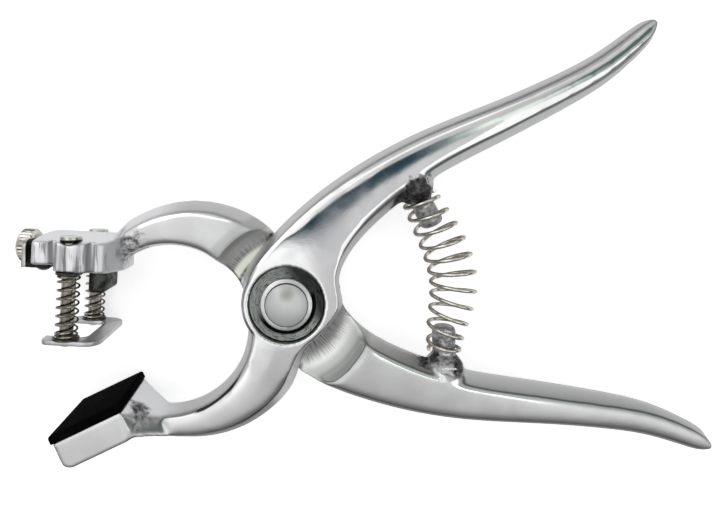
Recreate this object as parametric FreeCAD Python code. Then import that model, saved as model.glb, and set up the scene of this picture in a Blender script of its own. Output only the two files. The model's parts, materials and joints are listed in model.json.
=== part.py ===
import FreeCAD, Part
import math
import os

# Small-stock ear tattoo pliers, lying flat and open.
# +Z is the pivot axis towards the viewer, +X points along the handles, and the
# ear goes between the jaws on the -X side. Everything is laid out about the
# middle plane of the pliers, and save() lifts it so that the frame's origin is
# the centre of the pivot nut's flat back face. Lengths are in millimetres.

V = FreeCAD.Vector
X_AXIS = V(1, 0, 0)
Y_AXIS = V(0, 1, 0)
Z_AXIS = V(0, 0, 1)

# Handles: the two levers are mirror images
ANVIL_HANDLE_LENGTH = 142.6
HEAD_HANDLE_LENGTH = 137.8
ANVIL_HANDLE_ANGLE = 37.0
HEAD_HANDLE_ANGLE = -18.8
HANDLE_DEPTH = 12.6
HANDLE_TIP_DEPTH = 6.0
HANDLE_INNER_BEVEL = 3.9
HANDLE_OUTER_BEVEL = 3.4
FACE_CROWN = 0.12
# (share of the handle's length, offset of the inner edge, offset of the outer edge)
HANDLE_OUTLINE = [
    (0.999, -0.9, 1.2),
    (0.978, -3.3, 2.3),
    (0.930, -5.4, 3.0),
    (0.845, -6.4, 3.6),
    (0.740, -5.1, 6.1),
    (0.640, -2.9, 9.3),
    (0.540, -0.4, 13.0),
    (0.430, 2.1, 16.9),
    (0.310, 2.5, 19.7),
    (0.220, 1.2, 20.6),
]
HANDLE_SLANT = 0.15

# Jaws: each is a crescent between two arcs about centres beyond the pivot
JAW_OUTER_RADIUS = 36.4
JAW_OUTER_REACH = 28.6
HEAD_JAW_INNER_RADIUS = 23.8
HEAD_JAW_INNER_REACH = 36.1
ANVIL_JAW_INNER_RADIUS = 25.2
ANVIL_JAW_INNER_REACH = 37.6
ANVIL_JAW_TURN = 155.0
HEAD_JAW_TURN = 150.6
JAW_ROOT_DEPTH = 13.2
JAW_END_DEPTH = 10.4
JAW_INNER_BEVEL = 1.8
JAW_OUTER_BEVEL = 4.0
JAW_START = 40.0
ANVIL_JAW_END = 116.0
HEAD_JAW_END = 120.0
JAW_LAG = 6.0
JAW_STATIONS = 6
LAP_HANDLE_STATIONS = 3
LAP_JAW_STATIONS = 4

# Pivot and lap joint
BOSS_RADIUS = 15.2
BOSS_DEPTH = 14.4
BOSS_EDGE = 0.8
BOSS_BEVEL = 2.6
BOSS_WALL = 2.1
LAP_GAP = 0.1
LAP_RADIUS = 18.9
LAP_HANDLE_RAMP = 8.4
LAP_JAW_RAMP = 5.4
LAP_SIDE_CLEARANCE = 0.4
RAMP_HOLLOW = 1.6
COUNTERBORE_RADIUS = 11.4
COUNTERBORE_DEPTH = 1.9
PIVOT_RADIUS = 4.5
PIVOT_CLEARANCE = 0.05
PIVOT_HEAD_RADIUS = 6.5
PIVOT_HEAD_RIM = 0.5
PIVOT_HEAD_RISE = 2.4
WASHER_RADIUS = 7.8
WASHER_THICKNESS = 1.3
BACK_WASHER_RADIUS = 9.4
BACK_WASHER_THICKNESS = 0.8
WASHER_PLAY = 0.05
WORKING_GAP = 0.05
NUT_RADIUS = 7.0
NUT_THICKNESS = 1.8
NUT_SLOT = 1.6
NUT_SLOT_DEPTH = 0.9

# Tattoo head, in its own frame: x backwards, y up, from the guide pins' line
HEAD_TILT = -3.0
HEAD_FROM_JAW = (-9.46, -5.492)
HEAD_FRONT = 10.8
HEAD_REAR = 14.0
HEAD_REAR_WIDTH = 10.0
HEAD_LOBE = 9.4
HEAD_HEIGHT = 11.4
HEAD_CROWN = 30.0
PIN_SEAT = 9.1
PIN_SEAT_RADIUS = 3.3
HEAD_WIDTH = 26.0
HEAD_EDGE = 0.9
HEAD_CORNER = 1.0
HEAD_LOBE_CORNER = 3.0
PIN_BOSS_RADIUS = 6.4
PIN_BOSS_PROUD = 0.9
PIN_BOSS_BACK = 0.8
FRONT_BLOCK_LENGTH = 6.1
FRONT_STEP = 1.9
FLUTE_RADIUS = 1.1
FLUTE_DEPTH = 1.2

# Channel for the tattoo dies, and the stop block at its back
CHANNEL_WIDTH = 12.6
CHANNEL_DEPTH = 6.6
CHANNEL_BACK = 8.8
STOP_LENGTH = 5.1
STOP_WIDTH = 12.4
STOP_DROP = 6.9
STOP_EDGE = 1.2

# Clamping screw, its knurled knob and the pressure plate that it pushes
SCREW_HEIGHT = 5.5
SCREW_RADIUS = 1.8
SCREW_TIP_RADIUS = 1.1
SCREW_TIP_LENGTH = 0.9
SCREW_CLEARANCE = 0.05
SLOT_CLEARANCE = 0.3
KNOB_RADIUS = 5.2
KNOB_LENGTH = 4.9
KNOB_EDGE = 0.9
KNOB_GAP = 0.15
KNURL_COUNT = 30
KNURL_DEPTH = 0.35
PLATE_THICKNESS = 1.8
PLATE_CLEARANCE = 0.1

# Bracket that closes the channel's front
BRACKET_THICKNESS = 1.3
BRACKET_WIDTH = 21.0
BRACKET_GAP = 2.3
BRACKET_RISE = 7.9
BRACKET_FOOT = 4.3
BRACKET_CORNER = 2.5
BRACKET_SCREW_SPACING = 17.0
BRACKET_SCREW_RADIUS = 2.05
BRACKET_SCREW_DOME = 1.0
BRACKET_SCREW_SHANK = 1.3
BRACKET_SCREW_LENGTH = 4.6
BRACKET_SCREW_INSET = 2.2

# Ejector frame on two sprung guide pins
PIN_SPACING = 22.4
PIN_RADIUS = 2.0
PIN_CLEARANCE = 0.05
PIN_HEAD_RADIUS = 3.05
PIN_HEAD_HEIGHT = 1.1
PIN_SLOT = 0.8
PIN_SLOT_DEPTH = 0.5
FRAME_DROP = 20.6
FRAME_THICKNESS = 1.3
FRAME_BAR = 4.8
FRAME_FRONT = 6.7
FRAME_REAR = 9.8
FRAME_CORNER = 4.4
PIN_SCREW_RADIUS = 2.15
PIN_SCREW_DOME = 0.9
PIN_SCREW_SHANK = 1.1
PIN_SCREW_LENGTH = 3.2
SPRING_WASHER_RADIUS = 3.7
SPRING_WASHER_THICKNESS = 0.6
PIN_SPRING_RADIUS = 3.0
PIN_WIRE = 0.7
PIN_SPRING_TURNS = 8.5

# Anvil block and rubber pad, in their own frame: x backwards, y out of the pad
ANVIL_TILT = 25.5
ANVIL_FROM_JAW = (-13.0, 11.42)
ANVIL_FRONT = 10.3
ANVIL_REAR = 10.8
ANVIL_WIDTH = 26.4
ANVIL_HEIGHT = 8.4
ANVIL_FRONT_EDGE = 2.6
NECK_INSET = 0.15
PAD_THICKNESS = 2.5
PAD_OVERHANG = 0.6
PAD_EDGE = 0.4

# Return spring between two cast pegs
PEG_PLACE = 52.4
PEG_RADIUS = 3.7
PEG_WAIST_RADIUS = 3.3
PEG_ROOT_RADIUS = 6.0
PEG_ROOT_LENGTH = 3.2
PEG_LENGTH = 11.6
PEG_END_EDGE = 0.9
ANVIL_PEG_ANGLE = -63.5
HEAD_PEG_ANGLE = 90.0
RETURN_WIRE = 1.2
RETURN_TURNS = 11.5
RETURN_RADIUS = 4.6
RETURN_SWELL = 2.3
RETURN_BOW = 6.4
COIL_POINTS = 10
WIRE_SIDES = 6
COIL_CLEARANCE = 0.15

# Cutters run this far past the faces that they open
OVERRUN = 5.0

half_boss = BOSS_DEPTH / 2
counterbore_floor = half_boss - COUNTERBORE_DEPTH
back_face = counterbore_floor + WASHER_PLAY + BACK_WASHER_THICKNESS + NUT_THICKNESS
stop_front = CHANNEL_BACK - STOP_LENGTH
plate_front = stop_front - WORKING_GAP - PLATE_THICKNESS
frame_top = FRAME_THICKNESS - FRAME_DROP


def turned(x, y, angle):
    """The XY place (x, y) turned by angle degrees about the origin."""
    c = math.cos(math.radians(angle))
    s = math.sin(math.radians(angle))
    return x * c - y * s, x * s + y * c


def blend(low, high, share):
    """The value that lies share of the way from low to high."""
    return low + (high - low) * share


def box(x, y, z):
    """Box between two limits along each axis, each given as a (low, high) pair."""
    low = V(x[0], y[0], z[0])
    return Part.makeBox(x[1] - x[0], y[1] - y[0], z[1] - z[0], low)


def rod(radius, start, end, place, axis):
    """Cylinder along an axis, from start to end, through place."""
    return Part.makeCylinder(radius, end - start, place + axis * start, axis)


def prism(outline, low, high):
    """Upright prism over an outline of (x, z) corners."""
    points = [V(x, low, z) for x, z in outline]
    return Part.Face(Part.makePolygon(points + points[:1])).extrude(V(0, high - low, 0))


def turning(profile, place, axis, across):
    """Solid turned about axis from (distance along, radius) corners."""
    points = [place + axis * along + across * radius for along, radius in profile]
    face = Part.Face(Part.makePolygon(points + points[:1]))
    return face.revolve(place, axis, 360)


def dome(base, radius, rise, place, axis, across):
    """Screw head: a spherical cap whose flat side is at base along the axis."""
    start = place + axis * base
    ball = (radius ** 2 + rise ** 2) / (2 * rise)
    half = math.asin(radius / ball) / 2
    middle = start + across * ball * math.sin(half) + axis * (rise - ball + ball * math.cos(half))
    arc = Part.Arc(start + across * radius, middle, start + axis * rise).toShape()
    edges = [arc, Part.makeLine(start + axis * rise, start), Part.makeLine(start, start + across * radius)]
    return Part.Face(Part.Wire(edges)).revolve(place, axis, 360)


def anvil_lever(along, out):
    """A place on the anvil lever, along its handle and out from it."""
    return turned(along, out, ANVIL_HANDLE_ANGLE)


def head_lever(along, out):
    """The same place on the head lever, which is the mirror image."""
    return turned(along, -out, HEAD_HANDLE_ANGLE)


def beyond_jaw(stations, offset, tilt):
    """The place at a tilted offset from the middle of a jaw's end."""
    outer, inner = stations[-1][:2]
    dx, dy = turned(*offset, tilt)
    return V((outer[0] + inner[0]) / 2 + dx, (outer[1] + inner[1]) / 2 + dy, 0)


def in_head(shape):
    """Moves a shape from the tattoo head's frame to the pliers' frame."""
    shape.rotate(V(0, 0, 0), Z_AXIS, HEAD_TILT)
    shape.translate(beyond_jaw(head_stations, HEAD_FROM_JAW, HEAD_TILT))
    return shape


def in_anvil(shape):
    """Moves a shape from the anvil's frame to the pliers' frame."""
    shape.rotate(V(0, 0, 0), Z_AXIS, ANVIL_TILT)
    shape.translate(beyond_jaw(anvil_stations, ANVIL_FROM_JAW, ANVIL_TILT))
    return shape


def section(inner, outer, depth, inner_bevel, outer_bevel):
    """Control points round a lever section that stands on the line from inner to outer.

    Every second point is a corner of the section, and the one after it bends the edge.
    """
    width = math.dist(inner, outer)
    half = depth / 2
    ux = (outer[0] - inner[0]) / width
    uy = (outer[1] - inner[1]) / width

    def at(across, z):
        return V(inner[0] + ux * across, inner[1] + uy * across, z)

    bevel_in = min(inner_bevel, width * 0.32)
    bevel_out = width - min(outer_bevel, width * 0.32)
    flank_in = bevel_in * 0.45
    flank_out = bevel_out * 0.12 + width * 0.88
    middle = (bevel_in + bevel_out) / 2
    crown = half + 2 * FACE_CROWN
    return [
        at(0, 0), at(flank_in, half * 0.55),
        at(bevel_in, half), at(middle, crown),
        at(bevel_out, half), at(flank_out, half * 0.93),
        at(width, 0), at(flank_out, -half * 0.93),
        at(bevel_out, -half), at(middle, -crown),
        at(bevel_in, -half), at(flank_in, -half * 0.55),
    ]


def skin(sections):
    """Solid with a smooth surface over each run of section edges."""
    stations = [0.0]
    for before, after in zip(sections, sections[1:]):
        step = ((after[0] + after[6]) - (before[0] + before[6])).Length / 2
        stations.append(stations[-1] + step)
    rails = []
    for i in range(len(sections[0])):
        rail = Part.BSplineCurve()
        rail.interpolate(Points=[points[i] for points in sections], Parameters=stations)
        rails.append(rail)
    knots = rails[0].getKnots()
    mults = rails[0].getMultiplicities()
    faces = []
    for i in range(0, len(rails), 2):
        rows = [rails[(i + j) % len(rails)].getPoles() for j in range(3)]
        surface = Part.BSplineSurface()
        surface.buildFromPolesMultsKnots(rows, [3, 3], mults, [0.0, 1.0], knots, False, False, 2, 3)
        faces.append(surface.toShape())
    for points in (sections[0], sections[-1]):
        edges = []
        for i in range(0, len(points), 2):
            bend = Part.BezierCurve()
            bend.setPoles([points[i], points[i + 1], points[(i + 2) % len(points)]])
            edges.append(bend.toShape())
        faces.append(Part.Face(Part.Wire(edges)))
    shell = Part.Shell(faces)
    shell.sewShape()
    solid = Part.Solid(Part.Shell(shell.Faces))
    if solid.Volume < 0:
        solid.reverse()
    return solid


def handle_stations(place, length):
    """Sections of the handle from its tip to its root, as section() arguments."""
    stations = []
    for share, inner, outer in HANDLE_OUTLINE:
        slimming = max(0.0, (share - 0.55) / 0.45) ** 1.6
        stations.append((place(share * length, inner), place(share * length + HANDLE_SLANT * outer, outer),
                         blend(HANDLE_DEPTH, HANDLE_TIP_DEPTH, slimming),
                         HANDLE_INNER_BEVEL, HANDLE_OUTER_BEVEL))
    return stations


def root_stations(place):
    """Sections round the pivot, which widen the lever to its boss."""
    r = BOSS_RADIUS
    edges = [
        ((r * 1.05, -r * 0.42), (r * 0.71, r * 1.25)),
        ((r * 0.84, -r * 0.80), (-r * 0.10, r * 1.06)),
        ((r * 0.30, -r * 0.97), (-r * 0.56, r * 0.70)),
        ((-r * 0.20, -r * 1.02), (-r * 0.83, r * 0.18)),
    ]
    return [(place(*inner), place(*outer), BOSS_DEPTH, BOSS_BEVEL, BOSS_BEVEL) for inner, outer in edges]


def jaw_stations(place, turn, end, inner_arc):
    """Sections of the crescent jaw, between its outer arc and its (reach, radius) inner arc."""
    stations = []
    arcs = ((JAW_OUTER_REACH, JAW_OUTER_RADIUS, JAW_LAG), (*inner_arc, 0.0))
    for i in range(JAW_STATIONS):
        share = i / (JAW_STATIONS - 1)
        angle = blend(JAW_START, end, share)
        edges = []
        for reach, radius, lag in arcs:
            cx, cy = turned(reach, 0, turn)
            dx, dy = turned(radius, 0, turn + 180 - angle - lag)
            edges.append(place(cx + dx, cy + dy))
        stations.append((edges[0], edges[1], blend(JAW_ROOT_DEPTH, JAW_END_DEPTH, share),
                         JAW_OUTER_BEVEL, JAW_INNER_BEVEL))
    return stations


def lap_ramp(ramp, side, start_angle):
    """Half-round cutter for the lap joint: a flat floor and a hollow ramp up to the lever's face.

    side is 1 to cut from the front and -1 from the back.
    """
    floor = side * LAP_GAP / 2
    if side > 0:
        floor = -floor
    top = side * (half_boss + 2 * FACE_CROWN)
    across = V(*turned(1, 0, start_angle), 0)
    foot = across * LAP_RADIUS + Z_AXIS * floor
    crest = across * (LAP_RADIUS + ramp) + Z_AXIS * top
    slope = math.atan2(abs(top - floor), ramp)
    hollow = across * math.sin(slope) - Z_AXIS * side * math.cos(slope)
    middle = (foot + crest) / 2 + hollow * RAMP_HOLLOW
    edges = [
        Part.makeLine(Z_AXIS * floor, foot),
        Part.Arc(foot, middle, crest).toShape(),
        Part.makeLine(crest, Z_AXIS * top),
        Part.makeLine(Z_AXIS * top, Z_AXIS * floor),
    ]
    return Part.Face(Part.Wire(edges)).revolve(V(0, 0, 0), Z_AXIS, 180)


def lap_window(stations, side):
    """Room in one lever for the other lever's root, with clearance on both edges."""
    rows = [[], []]
    for inner, outer, _, _, _ in stations:
        width = math.dist(inner, outer)
        ux = (outer[0] - inner[0]) / width * LAP_SIDE_CLEARANCE
        uy = (outer[1] - inner[1]) / width * LAP_SIDE_CLEARANCE
        rows[0].append(V(inner[0] - ux, inner[1] - uy, 0))
        rows[1].append(V(outer[0] + ux, outer[1] + uy, 0))
    curves = []
    for row in rows:
        curve = Part.BSplineCurve()
        curve.interpolate(row)
        curves.append(curve.toShape())
    ends = [Part.makeLine(rows[0][i], rows[1][i]) for i in (0, -1)]
    outline = Part.Wire(Part.__sortEdges__(curves + ends))
    window = Part.Face(outline).extrude(V(0, 0, BOSS_DEPTH))
    window.translate(V(0, 0, -LAP_GAP / 2 if side > 0 else LAP_GAP / 2 - BOSS_DEPTH))
    return window.cut(rod(LAP_RADIUS - 0.5, -BOSS_DEPTH, BOSS_DEPTH, V(0, 0, 0), Z_AXIS))


def lever_stations(place, length, turn, end, inner_arc):
    """All sections of one lever, from its handle's tip to its jaw's end."""
    return handle_stations(place, length) + root_stations(place) + jaw_stations(place, turn, end, inner_arc)


def peg(place, angle):
    """Cast peg on the handle's inner edge, which the return spring's end grips."""
    base = V(*place(PEG_PLACE, 2.4), 0)
    axis = V(*turned(1, 0, angle), 0)
    profile = [
        (-HANDLE_DEPTH / 3, 0), (-HANDLE_DEPTH / 3, PEG_ROOT_RADIUS), (0, PEG_ROOT_RADIUS),
        (PEG_ROOT_LENGTH, PEG_WAIST_RADIUS), (PEG_LENGTH - PEG_END_EDGE, PEG_RADIUS),
        (PEG_LENGTH, PEG_RADIUS - PEG_END_EDGE), (PEG_LENGTH, 0),
    ]
    return turning(profile, base, axis, Z_AXIS)


def boss():
    """Round boss of a lever at the pivot, the full depth of the pliers."""
    disc = rod(COUNTERBORE_RADIUS + BOSS_WALL, -half_boss, half_boss, V(0, 0, 0), Z_AXIS)
    return disc.makeChamfer(BOSS_EDGE, [e for e in disc.Edges if e.isClosed()])


def lap_cut(lever, angle, other, side):
    """Cuts the lap joint, the counterbore and nothing else into a lever's body."""
    cutters = [
        lap_ramp(LAP_HANDLE_RAMP, side, angle - 90),
        lap_ramp(LAP_JAW_RAMP, side, angle + 90),
        lap_window(other, side),
    ]
    seat = rod(COUNTERBORE_RADIUS, counterbore_floor, half_boss + 1, V(0, 0, 0), Z_AXIS * -side)
    return lever.cut(cutters + [seat])


anvil_stations = lever_stations(anvil_lever, ANVIL_HANDLE_LENGTH, ANVIL_JAW_TURN, ANVIL_JAW_END,
                                (ANVIL_JAW_INNER_REACH, ANVIL_JAW_INNER_RADIUS))
head_stations = lever_stations(head_lever, HEAD_HANDLE_LENGTH, HEAD_JAW_TURN, HEAD_JAW_END,
                               (HEAD_JAW_INNER_REACH, HEAD_JAW_INNER_RADIUS))
jaw_first = len(anvil_stations) - JAW_STATIONS
lap_span = slice(len(HANDLE_OUTLINE) - LAP_HANDLE_STATIONS, jaw_first + LAP_JAW_STATIONS)


def head_block():
    """Cast block of the tattoo head, with a boss and flutes round each guide pin."""
    half = HEAD_WIDTH / 2
    rear = HEAD_REAR_WIDTH / 2
    outline = [(-HEAD_FRONT, half), (HEAD_LOBE, half), (HEAD_REAR, rear),
               (HEAD_REAR, -rear), (HEAD_LOBE, -half), (-HEAD_FRONT, -half)]
    shape = prism(outline, 0, HEAD_HEIGHT)
    uprights = [e for e in shape.Edges if abs(e.tangentAt(e.FirstParameter).y) > 0.9]
    lobes = [e for e in uprights if abs(e.BoundBox.XMin - HEAD_LOBE) < 0.01]
    shape = shape.makeFillet(HEAD_LOBE_CORNER, lobes)
    uprights = [e for e in shape.Edges if abs(e.tangentAt(e.FirstParameter).y) > 0.9]
    front = [e for e in uprights if e.BoundBox.XMin < 0.01 - HEAD_FRONT]
    shape = shape.makeFillet(HEAD_CORNER, front)
    boss_place = half + PIN_BOSS_PROUD - PIN_BOSS_RADIUS
    for side in (1, -1):
        place = V(PIN_BOSS_BACK, 0, side * boss_place)
        shape = shape.fuse(rod(PIN_BOSS_RADIUS, 0, HEAD_HEIGHT, place, Y_AXIS))
    crown = rod(HEAD_CROWN, -HEAD_FRONT - 1, HEAD_REAR + 1, V(0, HEAD_HEIGHT - HEAD_CROWN, 0), X_AXIS)
    shape = shape.common(crown)
    shape = shape.makeFillet(HEAD_EDGE, [e for e in shape.Edges if e.BoundBox.YMin > 0.01])
    for side in (1, -1):
        for x in (FRONT_BLOCK_LENGTH - HEAD_FRONT, PIN_BOSS_RADIUS):
            flute = rod(FLUTE_RADIUS, -1, HEAD_HEIGHT + 1,
                        V(x, 0, side * (half + FLUTE_RADIUS - FLUTE_DEPTH)), Y_AXIS)
            shape = shape.cut(flute)
    step = box((-HEAD_FRONT - 1, FRONT_BLOCK_LENGTH - HEAD_FRONT), (-1, FRONT_STEP), (-half - 1, half + 1))
    return shape.cut(step)


def die_channel():
    """Cutter for the channel that takes the tattoo dies, open below and in front."""
    half = CHANNEL_WIDTH / 2
    channel = box((-HEAD_FRONT - 1, CHANNEL_BACK), (-1, CHANNEL_DEPTH), (-half, half))
    slot = SCREW_RADIUS + SLOT_CLEARANCE
    return channel.fuse(box((-HEAD_FRONT - 1, stop_front), (0, SCREW_HEIGHT + slot), (-slot, slot)))


def coil(line, radius, swell, turns, wire, closed):
    """Coil spring round a line, with closed turns at both ends and a swell between them."""
    start = line.FirstParameter
    length = line.length()
    pitch = wire + COIL_CLEARANCE
    rings = []
    for i in range(round(turns * COIL_POINTS) + 1):
        turn = i / COIL_POINTS
        share = (turn - closed) / (turns - 2 * closed)
        along = blend(closed * pitch, length - closed * pitch, share)
        if turn < closed:
            along = turn * pitch
        elif turn > turns - closed:
            along = length - (turns - turn) * pitch
        place = line.parameterAtDistance(along, start)
        forward = line.tangent(place)[0]
        across = Z_AXIS.cross(forward)
        reach = radius + swell * math.sin(math.pi * along / length)
        angle = 2 * math.pi * turn
        outward = across * math.cos(angle) + Z_AXIS * math.sin(angle)
        ring = []
        for corner in range(WIRE_SIDES):
            c = math.cos(2 * math.pi * corner / WIRE_SIDES) * wire / 2
            s = math.sin(2 * math.pi * corner / WIRE_SIDES) * wire / 2
            ring.append(line.value(place) + outward * (reach + c) + forward * s)
        rings.append(Part.makePolygon(ring + ring[:1]))
    return Part.makeLoft(rings, True, True)


def dome_screw(head_radius, rise, shank_radius, length, place, axis):
    """Screw with a domed head: the shank runs back from place and the head stands out along axis."""
    return dome(0, head_radius, rise, place, axis, Z_AXIS).fuse(rod(shank_radius, -length, 0.3, place, axis))


def save(shape, node):
    """Lifts a finished piece to the row's frame and writes it."""
    shape = shape.copy()
    shape.translate(V(0, 0, back_face))
    shape.exportStep("parts/" + node + ".step")


os.makedirs("parts", exist_ok=True)

# Anvil lever: upper handle, boss in front, lower jaw and anvil block
bottom = -PAD_THICKNESS - ANVIL_HEIGHT
half = ANVIL_WIDTH / 2
block = box((-ANVIL_FRONT, ANVIL_REAR), (bottom, -PAD_THICKNESS), (-half, half))
front_edge = [e for e in block.Edges if e.BoundBox.XMax < 0.01 - ANVIL_FRONT and e.BoundBox.YMax < bottom + 0.01]
block = block.makeFillet(ANVIL_FRONT_EDGE, front_edge)
outer, inner, jaw_depth, _, _ = anvil_stations[-2]
root = [V(blend(outer[0], inner[0], share), blend(outer[1], inner[1], share), 0)
        for share in (NECK_INSET, 1 - NECK_INSET)]
neck_half = Z_AXIS * (0.5 - NECK_INSET) * jaw_depth
corners = [V(ANVIL_REAR, -PAD_THICKNESS, half), V(ANVIL_REAR, bottom, half),
           V(ANVIL_REAR, bottom, -half), V(ANVIL_REAR, -PAD_THICKNESS, -half)]
wide = in_anvil(Part.makePolygon(corners + corners[:1]))
corners = [root[1] + neck_half, root[0] + neck_half, root[0] - neck_half, root[1] - neck_half]
narrow = Part.makePolygon(corners + corners[:1])
neck = Part.makeLoft([wide, narrow], True, True)
lever = skin([section(*s) for s in anvil_stations])
lever = lever.fuse([boss(), peg(anvil_lever, ANVIL_PEG_ANGLE), in_anvil(block), neck])
lever = lap_cut(lever, ANVIL_HANDLE_ANGLE, head_stations[lap_span], -1)
lever = lever.cut(rod(PIVOT_RADIUS, -BOSS_DEPTH, BOSS_DEPTH, V(0, 0, 0), Z_AXIS))
save(lever, "anvil_lever")

# Head lever: lower handle, boss behind, upper jaw and tattoo head
lever = skin([section(*s) for s in head_stations])
lever = lever.fuse([boss(), peg(head_lever, HEAD_PEG_ANGLE), in_head(head_block())])
lever = lap_cut(lever, HEAD_HANDLE_ANGLE, anvil_stations[lap_span], 1)
lever = lever.cut(rod(PIVOT_RADIUS + PIVOT_CLEARANCE, -BOSS_DEPTH, BOSS_DEPTH, V(0, 0, 0), Z_AXIS))
foot_bottom = FRONT_STEP - BRACKET_THICKNESS
screw_x = BRACKET_SCREW_INSET - HEAD_FRONT
holes = [die_channel()]
for side in (1, -1):
    pin_place = V(0, 0, side * PIN_SPACING / 2)
    holes.append(rod(PIN_SEAT_RADIUS, PIN_SEAT, HEAD_HEIGHT + OVERRUN, pin_place, Y_AXIS))
    holes.append(rod(PIN_RADIUS + PIN_CLEARANCE, -1, HEAD_HEIGHT + OVERRUN, pin_place, Y_AXIS))
    holes.append(rod(BRACKET_SCREW_SHANK, 0, foot_bottom + BRACKET_SCREW_LENGTH + 0.5,
                     V(screw_x, 0, side * BRACKET_SCREW_SPACING / 2), Y_AXIS))
lever = lever.cut([in_head(hole) for hole in holes])
save(lever, "head_lever")

# Rubber pad, cemented to the anvil block
pad = box((-ANVIL_FRONT - PAD_OVERHANG, ANVIL_REAR + PAD_OVERHANG), (-PAD_THICKNESS, 0), (-half, half))
top = [e for e in pad.Edges if e.BoundBox.YMin > -0.01]
save(in_anvil(pad.makeChamfer(PAD_EDGE, top)), "rubber_pad")

# Pivot bolt: domed head on a washer in front, slotted nut on a washer behind
head_base = counterbore_floor + WASHER_THICKNESS
origin = V(0, 0, 0)
bolt = rod(PIVOT_RADIUS, -back_face, head_base + 0.1, origin, Z_AXIS)
rim = rod(PIVOT_HEAD_RADIUS, head_base, head_base + PIVOT_HEAD_RIM, origin, Z_AXIS)
cap = dome(head_base + PIVOT_HEAD_RIM, PIVOT_HEAD_RADIUS, PIVOT_HEAD_RISE, origin, Z_AXIS, X_AXIS)
save(bolt.fuse([rim, cap]), "pivot_bolt")

washer = rod(WASHER_RADIUS, counterbore_floor, head_base, origin, Z_AXIS)
save(washer.cut(rod(PIVOT_RADIUS, 0, head_base + 1, origin, Z_AXIS)), "pivot_washer_front")

washer_face = counterbore_floor + WASHER_PLAY
nut_face = washer_face + BACK_WASHER_THICKNESS
shaft = rod(PIVOT_RADIUS, 0, back_face + 1, origin, -Z_AXIS)
washer = rod(BACK_WASHER_RADIUS, washer_face, nut_face, origin, -Z_AXIS)
save(washer.cut(shaft), "pivot_washer_rear")

nut = rod(NUT_RADIUS, nut_face, back_face, origin, -Z_AXIS).cut(shaft)
for side in (1, -1):
    notch = box((PIVOT_RADIUS + 0.9, NUT_RADIUS + 1), (-NUT_SLOT / 2, NUT_SLOT / 2),
                (-back_face - 1, NUT_SLOT_DEPTH - back_face))
    if side < 0:
        notch = notch.mirror(origin, X_AXIS)
    nut = nut.cut(notch)
save(nut, "pivot_nut")

# Return spring, bowed between the two pegs
ends = []
for place, angle in ((anvil_lever, ANVIL_PEG_ANGLE), (head_lever, HEAD_PEG_ANGLE)):
    direction = V(*turned(1, 0, angle), 0)
    seat = V(*place(PEG_PLACE, 2.4), 0) + direction * (PEG_ROOT_LENGTH + RETURN_WIRE / 2)
    ends.append((seat, direction))
middle = (ends[0][0] + ends[1][0]) / 2 + X_AXIS * RETURN_BOW
line = Part.BSplineCurve()
line.interpolate(Points=[ends[0][0], middle, ends[1][0]], InitialTangent=ends[0][1], FinalTangent=-ends[1][1])
save(coil(line, RETURN_RADIUS, RETURN_SWELL, RETURN_TURNS, RETURN_WIRE, 0.75), "return_spring")

# Bracket across the front of the channel, on two domed screws
plate_back = -HEAD_FRONT - BRACKET_GAP
plate_face = plate_back - BRACKET_THICKNESS
half = BRACKET_WIDTH / 2
bracket = box((plate_face, plate_back), (foot_bottom, foot_bottom + BRACKET_RISE), (-half, half))
corners = [e for e in bracket.Edges if e.BoundBox.YMin > foot_bottom + BRACKET_RISE - 0.01 and e.BoundBox.XLength > 1]
bracket = bracket.makeFillet(BRACKET_CORNER, corners)
bracket = bracket.fuse(box((plate_face, BRACKET_FOOT - HEAD_FRONT), (foot_bottom, FRONT_STEP), (-half, half)))
mouth = CHANNEL_WIDTH / 2
bracket = bracket.cut(box((plate_back, 0), (foot_bottom - 1, FRONT_STEP + 1), (-mouth, mouth)))
screw_line = V(0, SCREW_HEIGHT, 0)
bracket = bracket.cut(rod(SCREW_RADIUS + SCREW_CLEARANCE, -30, 0, screw_line, X_AXIS))
for side, name in ((1, "near"), (-1, "far")):
    place = V(screw_x, foot_bottom, side * BRACKET_SCREW_SPACING / 2)
    bracket = bracket.cut(rod(BRACKET_SCREW_SHANK, -5, 5, place, Y_AXIS))
    screw = dome_screw(BRACKET_SCREW_RADIUS, BRACKET_SCREW_DOME, BRACKET_SCREW_SHANK, BRACKET_SCREW_LENGTH,
                       place, -Y_AXIS)
    save(in_head(screw), "bracket_screw_" + name)
save(in_head(bracket), "end_bracket")

# Clamping screw with its knurled knob, and the pressure plate on its tip
knob_end = plate_face - KNOB_GAP
knob_start = knob_end - KNOB_LENGTH
knob = turning([(knob_start, 0), (knob_start, KNOB_RADIUS - KNOB_EDGE), (knob_start + KNOB_EDGE, KNOB_RADIUS),
                (knob_end - KNOB_EDGE, KNOB_RADIUS), (knob_end, KNOB_RADIUS - KNOB_EDGE), (knob_end, 0)],
               screw_line, X_AXIS, Z_AXIS)
ridges = []
for i in range(2 * KNURL_COUNT):
    y, z = turned(KNOB_RADIUS - KNURL_DEPTH * (i % 2), 0, 180 * i / KNURL_COUNT)
    ridges.append(V(knob_start, SCREW_HEIGHT + y, z))
knurl = Part.Face(Part.makePolygon(ridges + ridges[:1])).extrude(X_AXIS * KNOB_LENGTH)
knob = knob.common(knurl)
shank_end = plate_front - WORKING_GAP
tip_end = shank_end + SCREW_TIP_LENGTH
screw = knob.fuse([rod(SCREW_RADIUS, knob_end - 1, shank_end, screw_line, X_AXIS),
                   rod(SCREW_TIP_RADIUS, shank_end - 1, tip_end, screw_line, X_AXIS)])
save(in_head(screw), "clamp_screw")

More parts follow.
